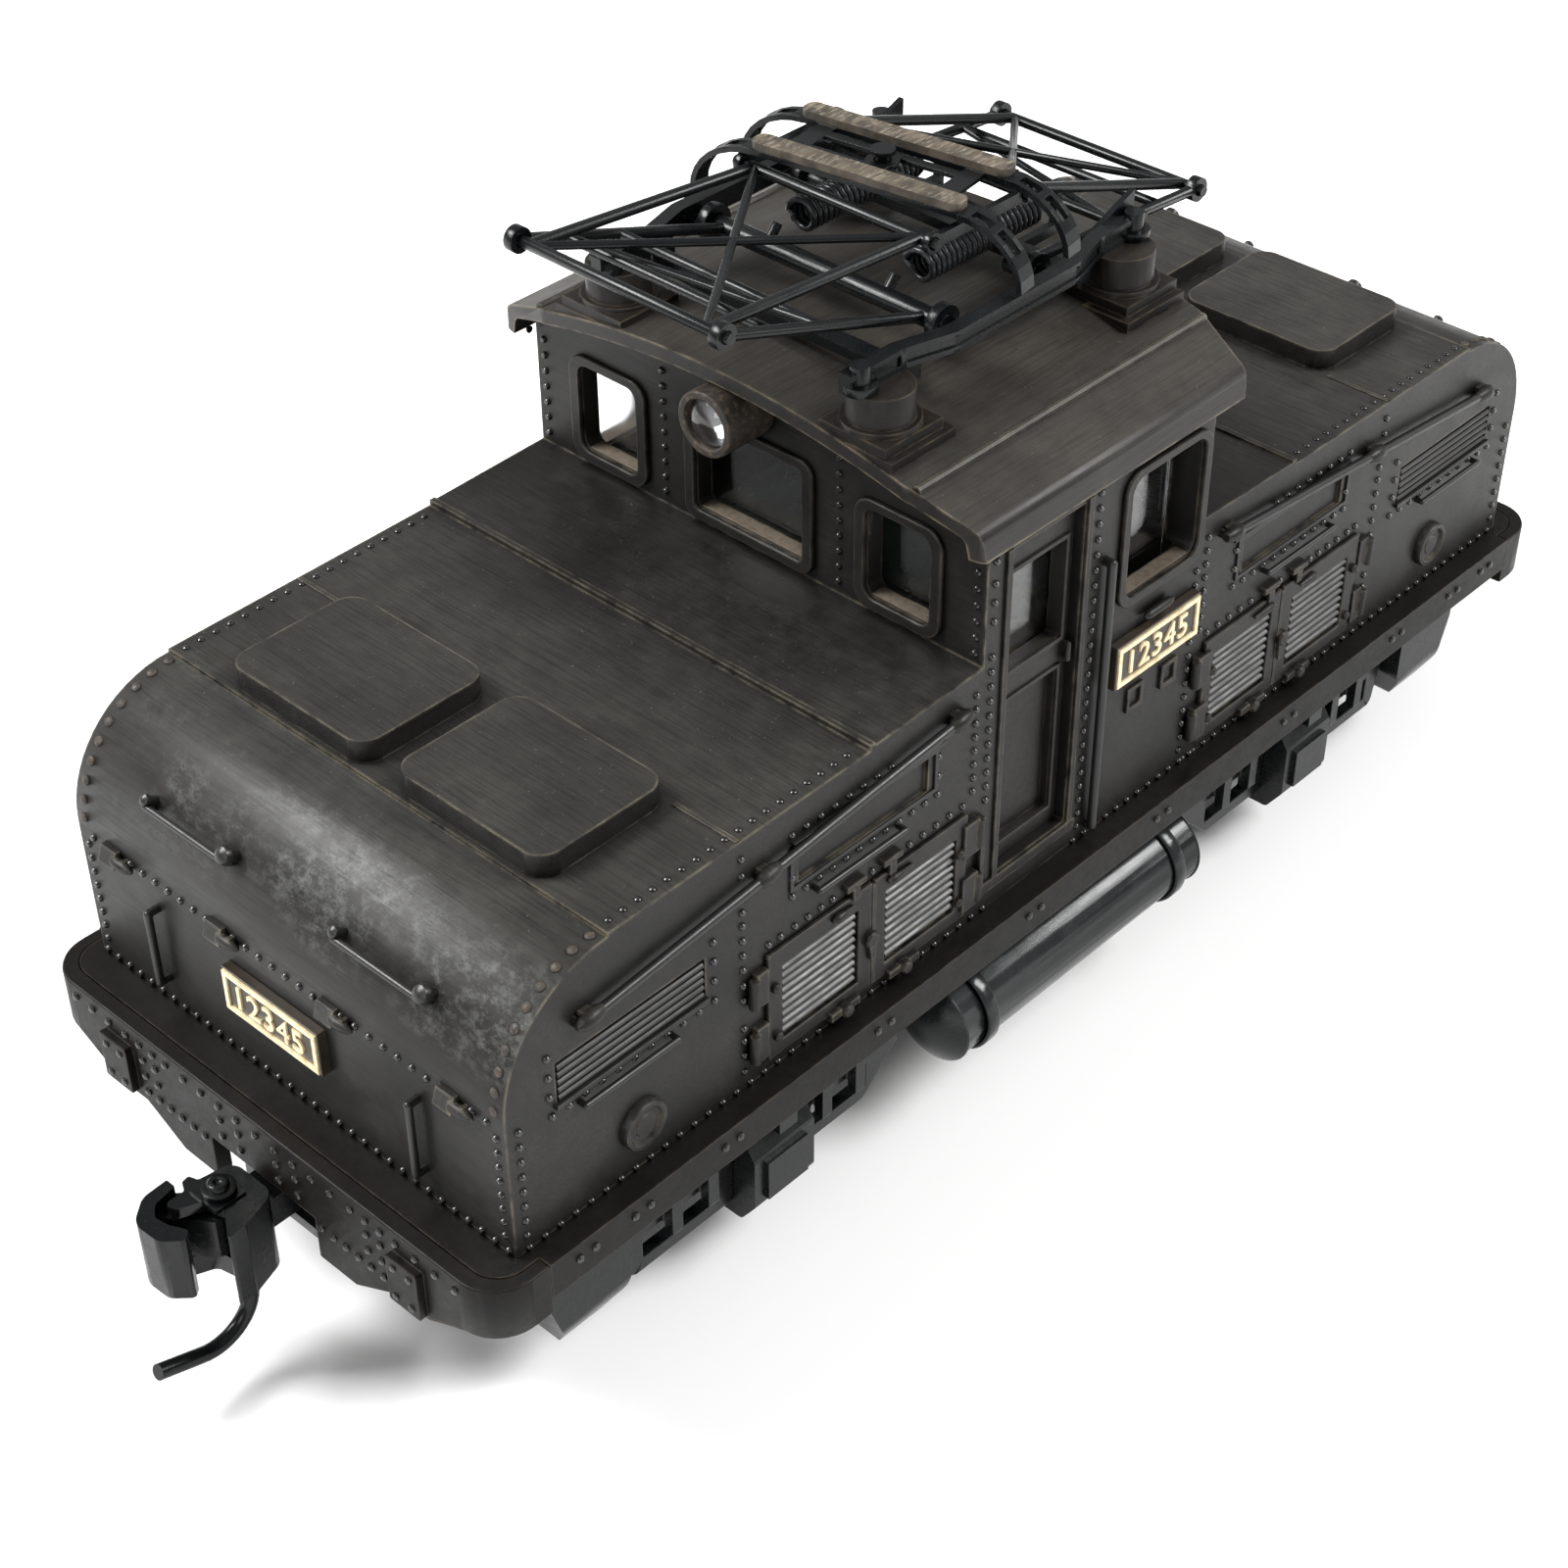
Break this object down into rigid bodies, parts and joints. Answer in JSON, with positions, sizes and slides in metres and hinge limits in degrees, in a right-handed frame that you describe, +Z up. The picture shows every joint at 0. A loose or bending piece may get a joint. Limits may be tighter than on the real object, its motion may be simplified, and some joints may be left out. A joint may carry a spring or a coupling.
{
  "type": "model electric locomotive",
  "caption": "Weathered black steeple-cab model electric locomotive with working wheelsets, knuckle couplers and a folding roof pantograph.",
  "frame": {"origin": "under the middle of the model, on the plane that its wheel flanges stand on", "axes": "+X along the locomotive towards the far coupler, +Y across it, +Z up"},
  "size_m": [0.1136, 0.0372, 0.0536],
  "materials": {
    "body_black": "satin, weathered",
    "roof_black": "satin, worn brown at the edges",
    "footplate_black": "satin, chipped at the edges",
    "underframe_black": "semi-gloss",
    "wire_black": "semi-gloss paint on wire",
    "plate_brass": "brass with a dark painted field",
    "lens_clear": "clear and domed",
    "glazing": "clear",
    "lamp_white": "translucent lamp",
    "rim_rust": "rusty brown wash",
    "chassis_metal": "die-cast, painted dark",
    "keeper_plastic": "satin",
    "screw_steel": "blackened steel",
    "bush_bronze": "sintered bronze",
    "motor_steel": "plated steel",
    "bell_plastic": "natural plastic",
    "shaft_steel": "ground steel",
    "flywheel_brass": "turned brass",
    "worm_brass": "cut brass",
    "gear_plastic": "natural acetal",
    "wheel_metal": "blackened, bright on the tread",
    "pickup_bronze": "phosphor bronze",
    "ballast_metal": "plain cast",
    "board_green": "lacquered circuit board",
    "coupler_metal": "semi-gloss black",
    "coupler_plastic": "semi-gloss black",
    "pin_steel": "blackened wire",
    "insulator_brown": "glazed grey brown",
    "pantograph_metal": "semi-gloss blue black",
    "spring_steel": "blackened steel",
    "strip_copper": "worn brown contact strip"
  },
  "bodies": {
    "locomotive": {"footplate": "footplate_black", "near_buffer_beam": "footplate_black", "far_buffer_beam": "footplate_black", "body_shell": "body_black", "cab_roof": "roof_black", "hood_hatches": "body_black", "cab_doors": "body_black", "window_frames": "body_black", "cab_glazing": "glazing", "louvre_doors": "body_black", "number_plates": "plate_brass", "handrails": "wire_black", "headlight_housings": "rim_rust", "headlight_lenses": "lens_clear", "side_frames": "underframe_black", "axle_boxes": "underframe_black", "leaf_springs": "underframe_black", "air_tanks": "underframe_black", "tank_straps": "underframe_black", "sandboxes": "underframe_black", "brake_gear": "underframe_black", "chassis_block": "chassis_metal", "keeper_plate": "keeper_plastic", "chassis_screws": "screw_steel", "axle_bushes": "bush_bronze", "motor_can": "motor_steel", "motor_end_bells": "bell_plastic", "brush_caps": "bell_plastic", "pickup_wipers": "pickup_bronze", "ballast_weights": "ballast_metal", "circuit_board": "board_green", "headlight_lamps": "lamp_white", "coupler_boxes": "coupler_plastic", "coupler_box_lids": "coupler_plastic", "coupler_screws": "screw_steel", "roof_insulators": "insulator_brown", "pantograph_base": "pantograph_metal", "pantograph_springs": "spring_steel"},
    "near_wheelset": {"near_axle": "shaft_steel", "near_axle_gear": "gear_plastic", "near_wheels": "wheel_metal"},
    "far_wheelset": {"far_axle": "shaft_steel", "far_axle_gear": "gear_plastic", "far_wheels": "wheel_metal"},
    "motor_rotor": {"motor_shaft": "shaft_steel", "flywheels": "flywheel_brass", "worms": "worm_brass"},
    "near_coupler": {"near_coupler_head": "coupler_metal", "near_trip_pin": "pin_steel"},
    "near_jaw": {"near_knuckle": "coupler_metal"},
    "far_coupler": {"far_coupler_head": "coupler_metal", "far_trip_pin": "pin_steel"},
    "far_jaw": {"far_knuckle": "coupler_metal"},
    "near_lower_arm": {"near_lower_frame": "pantograph_metal"},
    "far_lower_arm": {"far_lower_frame": "pantograph_metal"},
    "near_upper_arm": {"near_upper_frame": "pantograph_metal"},
    "far_upper_arm": {"far_upper_frame": "pantograph_metal"},
    "head_cradle": {"pan_cradle": "pantograph_metal"},
    "collector_head": {"pan_head": "pantograph_metal", "contact_strips": "strip_copper"}
  },
  "joints": [
    {"name": "motor_spin", "type": "hinge", "parent": "locomotive", "child": "motor_rotor", "pos_m": [0, 0, 0.0137], "axis": [1, 0, 0], "continuous": true},
    {"name": "near_axle_spin", "type": "hinge", "parent": "locomotive", "child": "near_wheelset", "pos_m": [-0.025, 0, 0.0077], "axis": [0, 1, 0], "continuous": true},
    {"name": "far_axle_spin", "type": "hinge", "parent": "locomotive", "child": "far_wheelset", "pos_m": [0.025, 0, 0.0077], "axis": [0, 1, 0], "continuous": true},
    {"name": "near_coupler_swing", "type": "hinge", "parent": "locomotive", "child": "near_coupler", "pos_m": [-0.0425, 0, 0.0096], "axis": [0, 0, 1], "range_deg": [-8, 8], "stiffness_Nm_per_rad": 0.0006},
    {"name": "near_knuckle_swing", "type": "hinge", "parent": "near_coupler", "child": "near_jaw", "pos_m": [-0.0503, 0.00035, 0.0096], "axis": [0, 0, 1], "range_deg": [-25, 0], "stiffness_Nm_per_rad": 0.0002},
    {"name": "far_coupler_swing", "type": "hinge", "parent": "locomotive", "child": "far_coupler", "pos_m": [0.0425, 0, 0.0096], "axis": [0, 0, 1], "range_deg": [-8, 8], "stiffness_Nm_per_rad": 0.0006},
    {"name": "far_knuckle_swing", "type": "hinge", "parent": "far_coupler", "child": "far_jaw", "pos_m": [0.0503, -0.00035, 0.0096], "axis": [0, 0, 1], "range_deg": [-25, 0], "stiffness_Nm_per_rad": 0.0002},
    {"name": "near_lower_swing", "type": "hinge", "parent": "locomotive", "child": "near_lower_arm", "pos_m": [-0.0038, 0, 0.0476], "axis": [0, 1, 0], "range_deg": [0, 29]},
    {"name": "far_lower_swing", "type": "hinge", "parent": "locomotive", "child": "far_lower_arm", "pos_m": [0.0038, 0, 0.0476], "axis": [0, 1, 0], "range_deg": [-53.5, 0]},
    {"name": "near_upper_swing", "type": "hinge", "parent": "near_lower_arm", "child": "near_upper_arm", "pos_m": [-0.01913, 0, 0.05285], "axis": [0, 1, 0], "range_deg": [-82.5, 0]},
    {"name": "far_upper_swing", "type": "hinge", "parent": "far_lower_arm", "child": "far_upper_arm", "pos_m": [0.01994, 0, 0.04616], "axis": [0, 1, 0], "range_deg": [0, 82.5]},
    {"name": "cradle_level", "type": "hinge", "parent": "near_upper_arm", "child": "head_cradle", "pos_m": [-0.00299, 0, 0.05141], "axis": [0, 1, 0], "range_deg": [0, 53.5]},
    {"name": "head_swivel", "type": "hinge", "parent": "head_cradle", "child": "collector_head", "pos_m": [0.00081, 0, 0.05241], "axis": [0, 0, 1], "range_deg": [-16, 0]}
  ],
  "couplings": [
    {"joint": "near_axle_spin", "follows": "motor_spin", "ratio": -0.05},
    {"joint": "far_axle_spin", "follows": "motor_spin", "ratio": -0.05},
    {"joint": "far_lower_swing", "follows": "near_lower_swing", "ratio": -1.8276},
    {"joint": "near_upper_swing", "follows": "near_lower_swing", "ratio": -2.8276},
    {"joint": "far_upper_swing", "follows": "near_lower_swing", "ratio": 2.8276},
    {"joint": "cradle_level", "follows": "near_lower_swing", "ratio": 1.8276}
  ]
}
